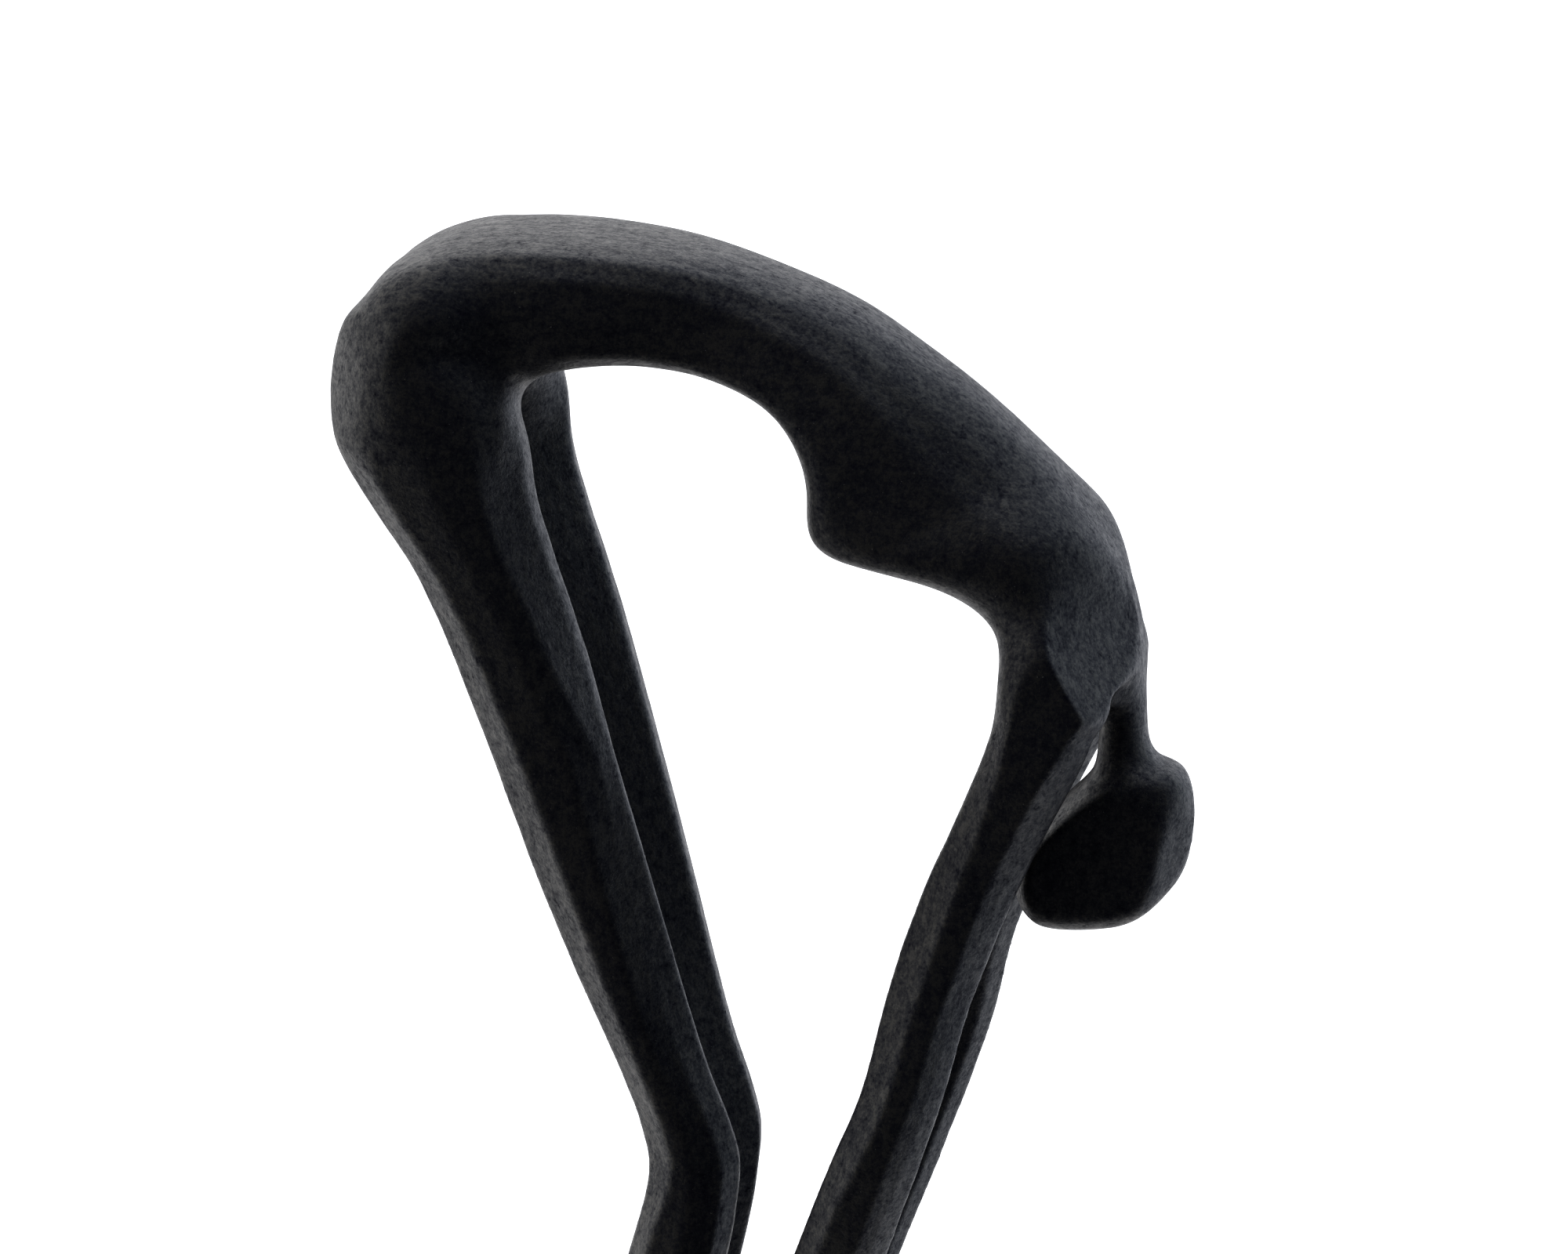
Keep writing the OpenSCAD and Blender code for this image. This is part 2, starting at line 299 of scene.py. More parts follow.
def blended_hull(solid):
    """A coarse copy of the trunk with the hollows round the hips and the shoulders filled."""
    mesh = remeshed(solid, COARSE_VOXEL)
    points, edges = arrays(mesh)
    near = np.max([around(points, *place) for place in FILLED], axis=0)
    above = smoothstep(points[:, 2], HULL_FLOOR, HULL_FLOOR + 12 * MM)
    fill_creases(mesh, np.clip(1.8 * near, 0, 1) * above, rounds=90)
    shell = bmesh.new()
    shell.from_mesh(mesh)
    everything = shell.verts[:] + shell.edges[:] + shell.faces[:]
    bmesh.ops.bisect_plane(shell, geom=everything, dist=1e-7, plane_co=(0, 0, HULL_FLOOR),
                           plane_no=(0, 0, 1), clear_inner=True)
    bmesh.ops.holes_fill(shell, edges=[e for e in shell.edges if e.is_boundary], sides=0)
    shell.to_mesh(mesh)
    shell.free()
    return linked("hull", mesh)


def collar():
    """The convex shape round the shoulders and the root of the neck."""
    points, _ = arrays(frame["nodes"]["torso_casting"].data)
    x, _, z = figure_mm(points)
    shell = bmesh.new()
    for point in points[(x > 50) & (z > 247) & (z < 268)]:
        shell.verts.new(point)
    made = bmesh.ops.convex_hull(shell, input=shell.verts[:])
    inner = set(made["geom_interior"])
    bmesh.ops.delete(shell, geom=[v for v in shell.verts if v in inner], context="VERTS")
    mesh = bpy.data.meshes.new("collar")
    shell.to_mesh(mesh)
    shell.free()
    return mesh


def base_skin():
    """The castings, their dowels, the collar and the filled hull as one even skin."""
    solid = joined(CASTINGS + list(DOWELS) + HAND_PINS)
    shell = bmesh.new()
    shell.from_mesh(solid.data)
    shell.from_mesh(collar())
    shell.to_mesh(solid.data)
    hull = blended_hull(solid)
    shell.from_mesh(hull.data)
    shell.to_mesh(solid.data)
    shell.free()
    mesh = remeshed(solid, VOXEL)
    bpy.data.objects.remove(solid)
    bpy.data.objects.remove(hull)
    return mesh


def fill_creases(mesh, weight, rounds):
    """Fills the valleys where the weight is high, and leaves the convex shape as it is."""
    points, edges = arrays(mesh)
    for _ in range(rounds):
        set_points(mesh, points)
        out = normals(mesh)
        pull = neighbour_mean(points, edges) - points
        lift = np.clip(np.einsum("ij,ij->i", pull, out), 0, None)
        points = points + out * (0.6 * weight * lift)[:, None]
    set_points(mesh, points)


def smooth(mesh, weight, rounds):
    """Each round moves a point halfway to the middle of its neighbours where the weight is 1."""
    points, edges = arrays(mesh)
    for _ in range(rounds):
        points = points + (neighbour_mean(points, edges) - points) * (0.5 * weight)[:, None]
    set_points(mesh, points)


# A limb's section is a polygon in the limb's own box: along X from -1 (rear) to 1 (front), and
# outwards from -1 (towards the other limb) to 1. Each station gives the height above the soles in
# mm, the rounding of the corners in degrees, and the corners. The two legs are carved differently.
RIGHT_LEG = [
    (20, 4, [(1, -0.2), (1, 0.2), (0.7, 0.75), (0.1, 1), (-0.6, 0.85), (-1, 0.2), (-0.8, -0.7),
             (-0.1, -1), (0.75, -0.75)]),
    (110, 4, [(1.02, -0.2), (1, 0.2), (0.7, 0.75), (0.2, 1), (-0.4, 0.95), (-1.04, 0.2), (-0.8, -0.7),
              (-0.1, -1), (0.75, -0.75)]),
    (141, 3, [(1.05, -0.1), (1.03, 0.2), (0.78, 0.75), (0.15, 1), (-0.58, 0.88), (-1.06, 0.2),
              (-0.8, -0.7), (-0.1, -1), (0.7, -0.8)]),
    (156, 3, [(1.05, -0.1), (1.04, 0.15), (0.75, 0.65), (0.1, 1), (-0.3, 0.99), (-1.06, 0.2),
              (-0.8, -0.7), (-0.1, -1), (0.7, -0.8)]),
    (186, 2.5, [(1.05, -0.1), (1.04, 0.03), (0.6, 0.55), (0.18, 0.98), (-0.33, 1), (-1.14, 0.2),
                (-0.8, -0.7), (-0.1, -1), (0.6, -0.85)]),
    (208, 2.5, [(1.05, -0.12), (1.04, 0), (0.7, 0.48), (0.35, 0.96), (-0.3, 1), (-1.1, 0.2),
                (-0.8, -0.7), (-0.1, -1), (0.6, -0.85)]),
    (231, 2.5, [(1.05, -0.12), (1.04, 0.05), (0.88, 0.48), (0.5, 0.92), (-0.33, 0.99), (-1.05, 0.25),
                (-0.85, -0.7), (-0.1, -1), (0.6, -0.85)]),
    (248, 2.5, [(1.06, -0.3), (1.04, 0), (0.7, 0.84), (0.3, 1), (-0.4, 0.96), (-1.02, 0.3),
                (-0.85, -0.7), (-0.1, -1), (0.7, -0.85)]),
    (269, 2.5, [(1.05, -0.4), (1.02, 0), (0.6, 0.92), (0.1, 1), (-0.5, 0.92), (-1.01, 0.3),
                (-0.88, -0.7), (-0.1, -1), (0.75, -0.85)]),
    (292, 3, [(1.03, -0.4), (1.02, 0.05), (0.68, 0.9), (0.1, 1), (-0.58, 0.84), (-1.02, 0.15),
              (-0.88, -0.7), (-0.1, -1), (0.8, -0.85)]),
]
LEFT_LEG = [
    (20, 4, [(1, 0.2), (0.9, 0.5), (0.6, 0.85), (0.1, 1), (-0.5, 0.92), (-1.02, 0.2), (-0.85, -0.6),
             (-0.3, -1), (0.6, -0.85)]),
    (110, 4, [(1.02, 0.1), (0.9, 0.55), (0.6, 0.9), (0.1, 1), (-0.45, 0.95), (-1.04, 0.2), (-0.85, -0.6),
              (-0.3, -1), (0.4, -0.9)]),
    (150, 3, [(1.05, -0.05), (0.95, 0.6), (0.62, 0.92), (0.1, 1), (-0.4, 0.97), (-1.05, 0.2),
              (-0.85, -0.6), (-0.3, -1), (0.2, -0.97)]),
    (235, 3, [(0.99, -0.05), (0.9, 0.6), (0.6, 0.92), (0.1, 1), (-0.4, 0.97), (-1.03, 0.2),
              (-0.85, -0.6), (-0.3, -1), (0.2, -0.97)]),
    (290, 3, [(1, 0.1), (0.9, 0.6), (0.6, 0.92), (0.1, 1), (-0.5, 0.92), (-1, 0.3),
              (-0.88, -0.7), (-0.3, -1), (0.35, -0.92)]),
]
ARM = [
    (20, 4, [(1, 0), (0.7, 0.75), (0.1, 1), (-0.6, 0.85), (-1, 0.2), (-0.8, -0.7), (0, -1),
             (0.75, -0.7)]),
    (110, 3, [(1.03, 0), (0.7, 0.65), (0.25, 0.97), (-0.5, 0.95), (-1.04, 0.2), (-0.8, -0.7), (0, -1),
              (0.75, -0.7)]),
    (153, 3, [(1.05, 0), (0.7, 0.55), (0.35, 0.93), (-0.45, 0.98), (-1.04, 0.25), (-0.8, -0.7), (0, -1),
              (0.75, -0.7)]),
    (167, 3, [(1.06, 0), (0.7, 0.55), (0.3, 0.94), (-0.28, 1), (-1.04, 0.25), (-0.8, -0.7), (0, -1),
              (0.75, -0.7)]),
    (197, 3, [(1.14, 0), (0.8, 0.5), (0.5, 0.9), (-0.15, 1), (-1.04, 0.25), (-0.8, -0.7), (0, -1),
              (0.75, -0.7)]),
    (212, 3, [(1.14, 0), (0.8, 0.5), (0.42, 0.92), (-0.22, 1), (-1.04, 0.25), (-0.8, -0.7), (0, -1),
              (0.75, -0.7)]),
    (232, 3, [(1.04, 0), (0.72, 0.5), (0.4, 0.93), (-0.5, 0.98), (-1.02, 0.25), (-0.8, -0.7), (0, -1),
              (0.75, -0.7)]),
    (246, 3, [(1, 0), (0.75, 0.55), (0.4, 0.95), (-0.6, 0.97), (-1, 0.3), (-0.8, -0.7), (0, -1),
              (0.75, -0.7)]),
]
ANGLES = 720                 # directions in a section's table
CORE = 0.2                   # a point nearer to a section's middle counts as this far out
# The line between a leg and the arm in front of it: heights above the soles, and X at each, in mm.
LIMBS_PART = ([20, 30, 50, 80, 110, 150, 200, 260, 290, 300], [-25, -26, -20, -15, -6, 6, 6, 5, -22, -26])
# Heights where the facets of a limb start, are full, start to end, and have ended, in mm.
LEG_FADE = (24, 34, 280, 297)
ARM_FADE = (20, 26, 241, 250)
HEAD_REACH = 1.5 * MM        # what lies this near the head casting belongs to the head


def polygon_radius(corners):
    """Radius of a polygon round the origin at each of the even angles from -180 to 180 degrees."""
    corners = np.array(corners)
    corners = corners[np.argsort(np.arctan2(corners[:, 1], corners[:, 0]))]
    turn = np.arctan2(corners[:, 1], corners[:, 0])
    angle = -math.pi + 2 * math.pi * np.arange(ANGLES) / ANGLES
    first = np.searchsorted(turn, angle, side="right") - 1
    a = corners[first]
    edge = corners[(first + 1) % len(corners)] - a
    across = np.cos(angle) * edge[:, 1] - np.sin(angle) * edge[:, 0]
    return (a[:, 0] * edge[:, 1] - a[:, 1] * edge[:, 0]) / across


def rounded_corners(radius, degrees):
    """The radii with corners rounded over an angle."""
    reach = int(3 * degrees * ANGLES / 360) + 1
    step = np.arange(-reach, reach + 1) * 360 / ANGLES
    kernel = np.exp(-0.5 * (step / degrees) ** 2)
    kernel /= kernel.sum()
    wrapped = np.concatenate([radius[-reach:], radius, radius[:reach]])
    return np.convolve(wrapped, kernel, "valid")


def section_table(stations, heights):
    """A row of radii for each height, blended between the stations below and above it."""
    rows = []
    levels = [z for z, _, _ in stations]
    for z in heights:
        after = int(np.clip(np.searchsorted(levels, z), 1, len(levels) - 1))
        _, round0, corners0 = stations[after - 1]
        _, round1, corners1 = stations[after]
        t = np.clip((z - levels[after - 1]) / (levels[after] - levels[after - 1]), 0, 1)
        corners = (1 - t) * np.array(corners0) + t * np.array(corners1)
        rows.append(rounded_corners(polygon_radius(corners), (1 - t) * round0 + t * round1))
    return np.array(rows)


def section_radius(table, row, a, b):
    """The table's radius at each point's row and direction."""
    row = np.clip(row, 0, len(table) - 1.001)
    column = (np.arctan2(b, a) + math.pi) / (2 * math.pi) * ANGLES
    i, j = row.astype(int), column.astype(int)
    u, v = row - i, column - j
    j, k = j % ANGLES, (j + 1) % ANGLES
    return ((1 - u) * ((1 - v) * table[i, j] + v * table[i, k])
            + u * ((1 - v) * table[i + 1, j] + v * table[i + 1, k]))


def banded_box(z, values, heights):
    """Smoothed middle and half extent of the values at each height."""
    low = np.full(len(heights), np.inf)
    high = np.full(len(heights), -np.inf)
    band = np.clip(np.round(z - heights[0]).astype(int), 0, len(heights) - 1)
    np.minimum.at(low, band, values)
    np.maximum.at(high, band, values)
    kernel = np.ones(5) / 5
    low = np.convolve(np.pad(low, 2, "edge"), kernel, "valid")
    high = np.convolve(np.pad(high, 2, "edge"), kernel, "valid")
    return (low + high) / 2, (high - low) / 2


def shape_limb(points, inside, side, stations, fade):
    """Gives a limb its faceted section."""
    x, y, z = figure_mm(points[inside])
    y = y * side
    heights = np.arange(math.floor(z.min()), math.ceil(z.max()) + 1)
    mid_x, half_x = banded_box(z, x, heights)
    mid_y, half_y = banded_box(z, y, heights)
    cx, hx, cy, hy = (np.interp(z, heights, v) for v in (mid_x, half_x, mid_y, half_y))
    a = (x - cx) / hx
    b = (y - cy) / hy
    radius = section_radius(section_table(stations, heights), z - heights[0], a, b)
    size = np.maximum(np.hypot(a, b), CORE)
    start, full, waning, end = fade
    weight = smoothstep(z, start, full) * (1 - smoothstep(z, waning, end))
    scale = 1 + weight * (radius / size - 1)
    points[inside, 0] = (cx + a * scale * hx) * MM
    points[inside, 1] = (cy + b * scale * hy) * MM * side


def near_casting(points, chosen, name, reach):
    """Which of the chosen points lie within reach of a CAD casting's surface."""
    tree = BVHTree.FromObject(frame["nodes"][name], bpy.context.evaluated_depsgraph_get())
    found = np.zeros(len(points), bool)
    for i in np.flatnonzero(chosen):
        found[i] = tree.find_nearest(points[i], reach)[0] is not None
    return found


def shape_limbs(points):
    x, y, z = figure_mm(points)
    between_x = np.interp(z, *LIMBS_PART)
    head = near_casting(points, (x > 40) & (z > 190) & (z < 245), "head_casting", HEAD_REACH)
    for side in (-1, 1):
        own = y * side > 0
        leg = own & (x < between_x) & (z > 18) & (z < 301)
        shape_limb(points, leg, side, RIGHT_LEG if side < 0 else LEFT_LEG, LEG_FADE)
        arm = own & ~head & (x > between_x) & (z > 18) & (z < 250) & (y * side > 7)
        shape_limb(points, arm, side, ARM, ARM_FADE)


# The torso's sections fan out from a pivot under the belly. A section is sideways from -1 to 1, and
# outwards from -1 (belly) to 1 (back). Each station gives the lean of the section from upright in
# degrees, the rounding of the corners in degrees, and the corners of one half.
PIVOT = (-30, 240)
TORSO_HALVES = [
    (-32, 3, [(0.2, 1), (0.5, 0.96), (0.7, 0.86), (0.87, 0.6), (0.97, 0.3), (1, -0.1),
              (0.96, -0.66), (0.72, -0.96)]),
    (-20, 1.5, [(0.2, 1), (0.5, 0.97), (0.76, 0.9), (0.9, 0.64), (0.98, 0.3), (1, 0),
                (0.96, -0.66), (0.72, -0.96)]),
    (-8, 1.5, [(0.2, 1), (0.5, 0.98), (0.79, 0.91), (0.94, 0.6), (0.99, 0.2), (1, 0),
               (0.96, -0.66), (0.72, -0.96)]),
    (10, 2.5, [(0.2, 1), (0.5, 0.97), (0.8, 0.86), (0.95, 0.5), (0.98, 0.1), (1, -0.3),
               (0.99, -0.66), (0.74, -0.92)]),
    (28, 4, [(0.2, 1.04), (0.42, 0.99), (0.66, 0.84), (0.92, 0.4), (0.97, 0), (1.02, -0.4),
             (1.01, -0.68), (0.77, -0.9)]),
    (48, 5, [(0.15, 1.03), (0.36, 0.97), (0.6, 0.8), (0.88, 0.4), (0.96, 0), (1.02, -0.4),
             (1.01, -0.7), (0.8, -0.92)]),
    (70, 6, [(0.15, 1.02), (0.36, 0.97), (0.6, 0.8), (0.88, 0.4), (0.97, 0), (1.02, -0.4),
             (1, -0.7), (0.8, -0.92)]),
]
TORSO_STATIONS = [
    (lean, degrees, half + [(-a, b) for a, b in reversed(half)]) for lean, degrees, half in TORSO_HALVES]

# Leans in degrees, and at each the distance from the pivot in mm beyond which the torso lies.
BELLY = ([-40, -20, 0, 30, 45, 65], [60, 56, 54, 50, 50, 50])
# Leans in degrees, and at each how much wider than the cast torso it is carved, as a share.
WIDENED = ([-32, -8, 8, 28, 48, 60, 72], [0, 0.07, 0.11, 0.11, 0.02, -0.05, 0])


def shape_torso(points):
    """Gives the trunk its faceted sections, from the hips to the shoulders."""
    x, y, z = figure_mm(points)
    turn = np.degrees(np.arctan2(x - PIVOT[0], z - PIVOT[1]))
    reach = np.hypot(x - PIVOT[0], z - PIVOT[1])
    inside = (turn > -34) & (turn < 74) & (reach > np.interp(turn, *BELLY)) & (z > 255)
    turns = np.arange(-34, 75)
    rho, across = reach[inside], np.abs(y[inside])
    angle = turn[inside]
    mid, half = banded_box(angle, rho, turns)
    _, wide = banded_box(angle, y[inside], turns)
    c, h, w = (np.interp(angle, turns, v) for v in (mid, half, wide))
    a = across / w
    b = (rho - c) / h
    table = section_table(TORSO_STATIONS, turns)
    radius = section_radius(table, angle - turns[0], a, b)
    size = np.maximum(np.hypot(a, b), CORE)
    weight = smoothstep(angle, -32, -24) * (1 - smoothstep(angle, 58, 72))
    rear = 1 - smoothstep(angle, -14, -2)
    weight = weight * (1 - rear * (1 - smoothstep(b, -0.2, 0.2)))
    scale = 1 + weight * (radius / size - 1)
    wider = 1 + weight * np.interp(angle, *WIDENED)
    away = (c + b * scale * h) / rho
    points[inside, 0] = (PIVOT[0] + (x[inside] - PIVOT[0]) * away) * MM
    points[inside, 2] = (PIVOT[1] + (z[inside] - PIVOT[1]) * away) * MM + SOLE_Z
    points[inside, 1] = np.sign(y[inside]) * a * scale * w * wider * MM


# Carved planes: a point on each in mm, and where it faces. They are given for the right side of the
# figure, which has negative Y, and mirrored to its left side.
SHOULDER_FRONT = ((56, -28.3, 255), (0.85, -0.43, 0.45))
SHOULDER_TOP_FACING = (0.6, -0.7, 0.16)
UPPER_ARM_SIDE = ((56, -27.2, 255), (0.12, -0.99, 0.05))
HIP_REAR = ((-69, -26.5, 295.5), (-0.85, -0.53, 0.1))
HIP_CORNER = ((-68.4, -26.2, 295.5), (-0.6, -0.8, 0.1))
HEAD_SIDE = ((62, -11, 215), (0.06, -1, 0.04))
HEAD_FRONT = ((73.6, -9, 217), (0.88, -0.46, -0.14))
HEAD_UNDERSIDE = ((64, -11, 204.3), (0.1, -0.7, -0.7))
SQUARENESS = 2.6             # of the head seen from the front; 2 is an ellipse


def plane_off(points, inside, through, facing, soft):
    """Cuts off what stands over a plane, on both sides of the figure's middle.

    The plane's direction may be given for each point. The edge is rounded over the soft depth in mm.
    """
    facing = np.atleast_2d(np.array(facing, float))
    facing = facing / np.linalg.norm(facing, axis=1, keepdims=True)
    for side in (-1, 1):
        mirror = np.array([1, -side, 1])
        middle = np.array(through) * mirror * MM + (0, 0, SOLE_Z)
        over = np.einsum("ij,ij->i", points - middle, facing * mirror) / MM
        rounded = np.where(over < soft, np.clip(over + soft, 0, None) ** 2 / (4 * soft), over)
        rounded *= inside * (points[:, 1] * side > 0)
        points -= rounded[:, None] * MM * facing * mirror


def square_head(points, head):
    """Makes the head squarer seen from the front, so that its sides are flat."""
    z = (points[head, 2] - SOLE_Z) / MM
    y = points[head, 1]
    across = np.clip(np.abs(y) / np.abs(y).max(), 0.01, 1)
    square = (1 - (1 - across ** 2) ** (SQUARENESS / 2)) ** (1 / SQUARENESS)
    points[head, 1] *= 1 + (1 - smoothstep(z, 213, 228)) * (square / across - 1)


def shape_shoulders(points):
    x, y, z = figure_mm(points)
    shoulder = smoothstep(x, 46, 54) * smoothstep(z, 230, 252) * (np.abs(y) > 3)
    through, front = SHOULDER_FRONT
    up = smoothstep(z, 256, 282)[:, None]
    facing = (1 - up) * np.array([front]) + up * np.array([SHOULDER_TOP_FACING])
    plane_off(points, shoulder, through, facing, 0.8 + 4 * smoothstep(z, 257, 272))
    beside = smoothstep(x, 44, 50) * smoothstep(z, 224, 248) * (1 - smoothstep(z, 264, 276))
    plane_off(points, beside * (np.abs(y) > 3), *UPPER_ARM_SIDE, 0.5)


def shape_hips(points):
    x, y, z = figure_mm(points)
    hip = (x < -50) & (z > 270) & (np.abs(y) > 8)
    plane_off(points, hip, *HIP_REAR, 1)
    plane_off(points, hip, *HIP_CORNER, 3)


def shape_head(points):
    x, _, z = figure_mm(points)
    head = near_casting(points, (x > 40) & (z > 190) & (z < 232), "head_casting", HEAD_REACH)
    square_head(points, head)
    plane_off(points, head, *HEAD_SIDE, 0.8 + 4 * smoothstep(x, 62, 76))
    plane_off(points, head, *HEAD_FRONT, 2.2)
    plane_off(points, head, *HEAD_UNDERSIDE, 2)


# Places on the skin that are eased or swollen: X, Y and Z above the soles, the radius, and for a
# swollen place how far it rises, all in mm.
EASED = [(-50, 24, 310, 20), (-36, 13, 298, 10), (46, 20, 256, 20), (57, 11, 249, 9)]
SWOLLEN = [(-76, 18, 304, 32, 0.8), (68, 10, 266, 24, 1.1), (64, 4, 236, 12, 0.7)]


def make_skin():
    """The whole figure's skin, softened, carved and eased."""
    mesh = base_skin()
    points, _ = arrays(mesh)
    smooth(mesh, np.ones(len(points)), rounds=12)
    points, _ = arrays(mesh)
    shape_limbs(points)
    shape_torso(points)
    set_points(mesh, points)
    ease = np.max([around(points, *place) for place in EASED], axis=0)
    smooth(mesh, np.clip(1.5 * ease, 0, 1), rounds=40)
    points, _ = arrays(mesh)
    out = normals(mesh)
    for *place, amount in SWOLLEN:
        points += out * (around(points, *place) * amount * MM)[:, None]
    shape_shoulders(points)
    shape_hips(points)
    shape_head(points)
    set_points(mesh, points)
    smooth(mesh, np.ones(len(points)), rounds=2)
    points, _ = arrays(mesh)
    points[:, 2] = np.maximum(points[:, 2], SOLE_Z)
    set_points(mesh, points)
    return mesh


# ---- Parting the skin at the joints ----

def joints():
    """A point on each joint, the direction of its axis, and the reach of its cut."""
    cuts = []
    for name, reach in DOWELS.items():
        points, _ = arrays(frame["nodes"][name].data)
        middle = (points.min(0) + points.max(0)) / 2
        _, _, axes = np.linalg.svd(points - middle, full_matrices=False)
        cuts.append((Vector(middle), Vector(axes[0]), reach * MM))
    for name in HAND_PINS:
        low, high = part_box(name)
        axis = Vector((math.sin(HAND_TILT), 0, math.cos(HAND_TILT)))
        cuts.append(((low + high) / 2, axis, HAND_CUT_REACH))
    return cuts


def loose_parts(shell):
    """Sets of faces that hang together."""
    left = set(shell.faces)
    while left:
        start = left.pop()
        part, todo = [start], [start]
        while todo:
            for edge in todo.pop().edges:
                for face in edge.link_faces:
                    if face in left:
                        left.remove(face)
                        part.append(face)
                        todo.append(face)
        yield part


def cut_at_joints(shell):
    """Splits the skin at each joint, and caps the cuts with sharp-edged faces."""
    for middle, axis, reach in joints():
        near = [f for f in shell.faces if (f.calc_center_median() - middle).length < reach]
        rest = list({e for f in near for e in f.edges}) + list({v for f in near for v in f.verts})
        cut = bmesh.ops.bisect_plane(shell, geom=near + rest, dist=1e-7, plane_co=middle, plane_no=axis)
        seam = [e for e in cut["geom_cut"] if isinstance(e, bmesh.types.BMEdge)]
        bmesh.ops.split_edges(shell, edges=seam)
    rims = [e for e in shell.edges if e.is_boundary]
    for face in shell.faces:
        face.smooth = True
    for cap in bmesh.ops.holes_fill(shell, edges=rims, sides=0)["faces"]:
        cap.smooth = False


def nearest_casting(corners):
    """The casting whose box has its middle nearest to that of the corners' box."""
    low = Vector([min(v.co[i] for v in corners) for i in range(3)])
    high = Vector([max(v.co[i] for v in corners) for i in range(3)])
    middles = {name: (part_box(name)[0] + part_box(name)[1]) / 2 for name in CASTINGS}
    return min(middles, key=lambda name: (middles[name] - (low + high) / 2).length)


def make_piece(name, corners, faces, material):
    number = {v: i for i, v in enumerate(corners)}
    order = sorted(faces, key=lambda f: [number[v] for v in f.verts])
    mesh = bpy.data.meshes.new(name)
    mesh.from_pydata([v.co for v in corners], [], [[number[v] for v in f.verts] for f in order])
    mesh.polygons.foreach_set("use_smooth", [f.smooth for f in order])
    sharp = {tuple(sorted((number[e.verts[0]], number[e.verts[1]])))
             for f in order if not f.smooth for e in f.edges}
    for edge in mesh.edges:
        edge.use_edge_sharp = tuple(sorted(edge.vertices)) in sharp
    mesh.materials.append(material)
    return linked(name, mesh)


def part_skin(mesh, material):
    """Makes one piece of the skin for each casting."""
    shell = bmesh.new()
    shell.from_mesh(mesh)
    cut_at_joints(shell)
    for faces in sorted(loose_parts(shell), key=len, reverse=True)[:len(CASTINGS)]:
        corners = sorted({v for f in faces for v in f.verts}, key=lambda v: v.index)
        casting = nearest_casting(corners)
        piece = make_piece(casting + "_skin", corners, faces, material)
        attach(piece, "root")
        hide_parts(casting)
    shell.free()


# ---- Materials ----

def new_material(name):
    """A material, its node tree, its shader, and the place on the object that its noises read."""
    material = bpy.data.materials.new(name)
    material.use_nodes = True
    tree = material.node_tree
    return material, tree, tree.nodes["Principled BSDF"], add(tree, "TexCoord").outputs["Object"]


def set_shader(tree, shader, **inputs):
    for key, value in inputs.items():
        socket = shader.inputs[key.replace("_", " ")]
        if isinstance(value, bpy.types.NodeSocket):
            tree.links.new(value, socket)
        else:
            socket.default_value = value


def bumped(tree, height, depth, under=None):
    """A bump of the height over the depth in metres, on top of the bump under it."""
    inputs = {"Height": height, "Distance": depth, "Strength": 1.0}
    if under:
        inputs["Normal"] = under
    return add(tree, "Bump", inputs).outputs[0]


def patinated_iron():
    """Blackened iron with a waxed brown and blue patina, grainy and streaked, with a painted highlight on
    its sharp edges.
    """
    material, tree, shader, place = new_material("patinated_iron")
    blotch = noise(tree, place, 540, 5, 0.76)
    patch = noise(tree, place, 75, 2)
    grain = noise(tree, place, 1500, 3, 0.7)
    along_trunk = noise(tree, stretched(tree, place, (180, 900, 700)), 1, 4, 0.7)
    along_limbs = noise(tree, stretched(tree, place, (700, 700, 250)), 1, 4, 0.7)
    height = add(tree, "SeparateXYZ", {0: place}).outputs["Z"]
    trunk = spread(tree, height, SOLE_Z + 0.26, SOLE_Z + 0.29)
    streak = blend(tree, trunk, along_limbs, along_trunk)
    mottle = blend(tree, 0.1, blend(tree, 0.24, blend(tree, 0.45, blotch, grain), streak), patch)
    # Painted highlight: the sharp convex edges are made lighter and glossier, as if they caught the
    # light.
    painted_edge_highlight = spread(tree, add(tree, "NewGeometry").outputs["Pointiness"], 0.53, 0.62)
    light = combine(tree, "ADD", mottle, combine(tree, "MULTIPLY", painted_edge_highlight, 0.12))
    speck = spread(tree, noise(tree, place, 2600, 1), 0.76, 0.8, 0, 0.25)
    # The tone, sheen, specular level and roughness all follow light, which holds the painted edge
    # highlight as well as the patina's mottle.
    tone = coloured(tree, light, [(0.4, (0.009, 0.009, 0.0145)), (0.49, (0.0135, 0.0135, 0.016)),
                                  (0.56, (0.029, 0.0275, 0.024))])
    sheen = coloured(tree, light, [(0.41, (0.78, 0.85, 1)), (0.48, (0.92, 0.95, 1)),
                                   (0.56, (1, 0.98, 0.94))])
    tone = add(tree, "Mix", {0: speck, 6: tone, 7: (0.6, 0.58, 0.52, 1)}, data_type="RGBA").outputs[2]
    waves = bumped(tree, noise(tree, place, 160, 2), 0.15 * MM)
    pits = bumped(tree, blotch, 0.12 * MM, waves)
    pores = bumped(tree, grain, 0.08 * MM, pits)
    set_shader(tree, shader, Base_Color=tone, Specular_Tint=sheen, Normal=pores,
               Specular_IOR_Level=spread(tree, light, 0.39, 0.61, 0.02, 0.54),
               Roughness=spread(tree, light, 0.38, 0.62, 0.54, 0.3))
    return material


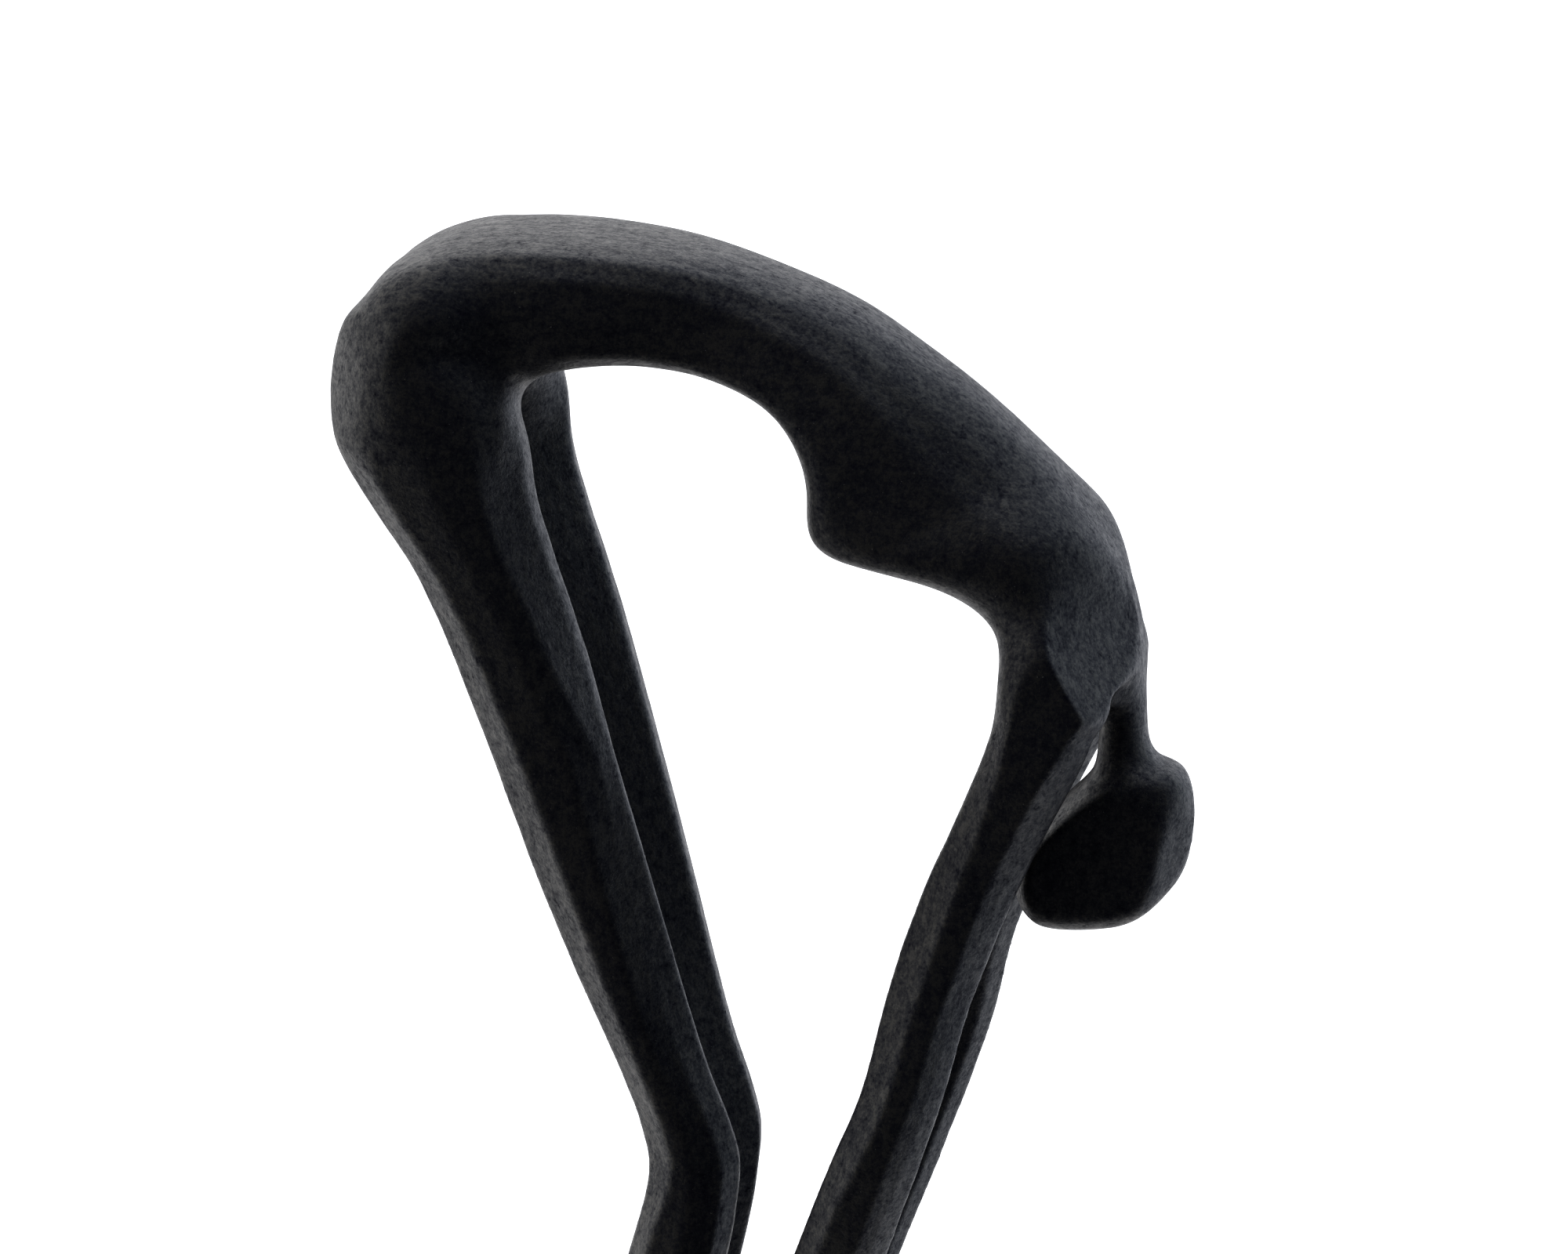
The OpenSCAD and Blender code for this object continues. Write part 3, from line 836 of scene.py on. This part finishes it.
def plinth_iron():
    """Sand-cast iron: coarse, dark, and a little rusty in patches."""
    material, tree, shader, place = new_material("plinth_iron")
    sand = noise(tree, place, 700, 4, 0.7)
    cloud = noise(tree, place, 45, 3)
    tone = coloured(tree, cloud, [(0.35, (0.012, 0.012, 0.013)), (0.55, (0.022, 0.02, 0.019)),
                                  (0.7, (0.05, 0.032, 0.022))])
    set_shader(tree, shader, Base_Color=tone, Roughness=spread(tree, sand, 0.3, 0.7, 0.45, 0.7),
               Specular_IOR_Level=spread(tree, cloud, 0.3, 0.7, 0.3, 0.6),
               Normal=bumped(tree, sand, 0.2 * MM))
    return material


def brushed_steel():
    """Steel with fine turning marks."""
    material, tree, shader, place = new_material("steel")
    marks = noise(tree, stretched(tree, place, (300, 300, 3500)), 1, 2)
    stain = noise(tree, place, 220, 3)
    tone = coloured(tree, stain, [(0.35, (0.3, 0.3, 0.31)), (0.65, (0.5, 0.5, 0.5))])
    set_shader(tree, shader, Base_Color=tone, Metallic=1.0, Normal=bumped(tree, marks, 0.02 * MM),
               Roughness=spread(tree, marks, 0.3, 0.7, 0.28, 0.45))
    return material


def felt():
    """Black pressed wool."""
    material, tree, shader, place = new_material("felt")
    wool = noise(tree, place, 900, 5, 0.75)
    cloud = noise(tree, place, 120, 3)
    fleck = blend(tree, 0.5, wool, cloud)
    tone = coloured(tree, fleck, [(0.35, (0.01, 0.01, 0.011)), (0.65, (0.035, 0.035, 0.038))])
    set_shader(tree, shader, Base_Color=tone, Roughness=0.95, Sheen_Weight=0.4,
               Normal=bumped(tree, wool, 0.5 * MM))
    return material


# ---- The scene ----

make_camera()
make_world()
make_floor()
materials = {"patinated_iron": patinated_iron(), "plinth_iron": plinth_iron(), "steel": brushed_steel(),
             "felt": felt()}
part_skin(make_skin(), materials["patinated_iron"])
slots = {part["node"]: part["material_slot"] for part in frame["record"]["subparts"]}
for name, node in frame["nodes"].items():
    if name not in CASTINGS:
        node.data.materials.clear()
        node.data.materials.append(materials[slots[name]])
